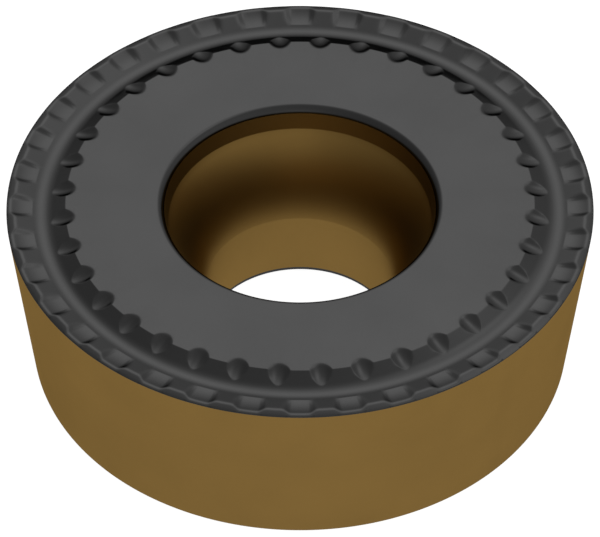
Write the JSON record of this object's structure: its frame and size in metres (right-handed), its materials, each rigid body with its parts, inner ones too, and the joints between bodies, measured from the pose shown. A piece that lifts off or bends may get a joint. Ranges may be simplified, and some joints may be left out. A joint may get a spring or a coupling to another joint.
{
  "type": "round turning insert",
  "caption": "Round cutting insert for lathe turning, with a conical flank, a ring chip groove with edge pockets and dimples, and a central hole with a curved seat for its clamping screw.",
  "frame": {"origin": "centre of the flat seat face underneath, on the axis of the hole", "axes": "+Z along the axis of the hole, from the seat face towards the cutting face"},
  "size_m": [0.02, 0.02, 0.0065],
  "materials": {
    "coated_carbide": "satin dark grey coating on the cutting face, bronze-coloured coating on the flank and in the hole"
  },
  "bodies": {
    "root": {"insert_body": "coated_carbide"}
  },
  "joints": []
}
